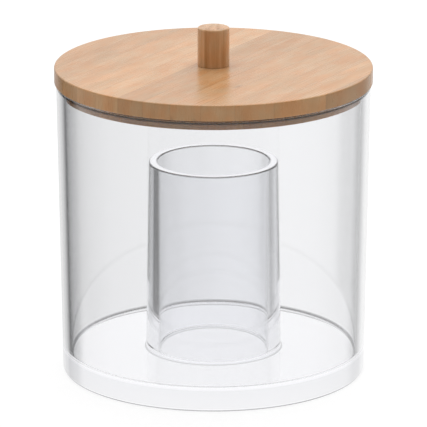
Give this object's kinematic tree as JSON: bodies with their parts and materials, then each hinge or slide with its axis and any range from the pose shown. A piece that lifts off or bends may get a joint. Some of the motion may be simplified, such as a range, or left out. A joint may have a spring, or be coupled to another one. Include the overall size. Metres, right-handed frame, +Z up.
{
  "type": "storage canister",
  "caption": "Clear round storage canister with a fixed centre tube, a solid base and a lift-off bamboo lid with a dowel knob.",
  "frame": {"origin": "on the canister's axis, at the middle of the face it stands on", "axes": "+Z up along the canister's axis, from its base to the knob; +X to the right and +Y away, seen from the front"},
  "size_m": [0.1, 0.1, 0.111],
  "materials": {
    "clear_plastic": "polished, clear",
    "bamboo_board": "sanded bamboo, clear matt oil",
    "bamboo_dowel": "sanded bamboo, clear matt oil",
    "screw_steel": "zinc plated"
  },
  "bodies": {
    "jar": {"jar": "clear_plastic"},
    "lid": {"lid_strip_01": "bamboo_board", "lid_strip_02": "bamboo_board", "lid_strip_03": "bamboo_board", "lid_strip_04": "bamboo_board", "lid_strip_05": "bamboo_board", "lid_strip_06": "bamboo_board", "lid_strip_07": "bamboo_board", "lid_strip_08": "bamboo_board", "lid_strip_09": "bamboo_board", "lid_strip_10": "bamboo_board", "lid_strip_11": "bamboo_board", "lid_strip_12": "bamboo_board", "knob": "bamboo_dowel", "knob_screw": "screw_steel"}
  },
  "joints": [
    {"name": "lid_lift", "type": "slide", "parent": "jar", "child": "lid", "axis": [0, 0, 1], "range_m": [0, 0.06]}
  ]
}
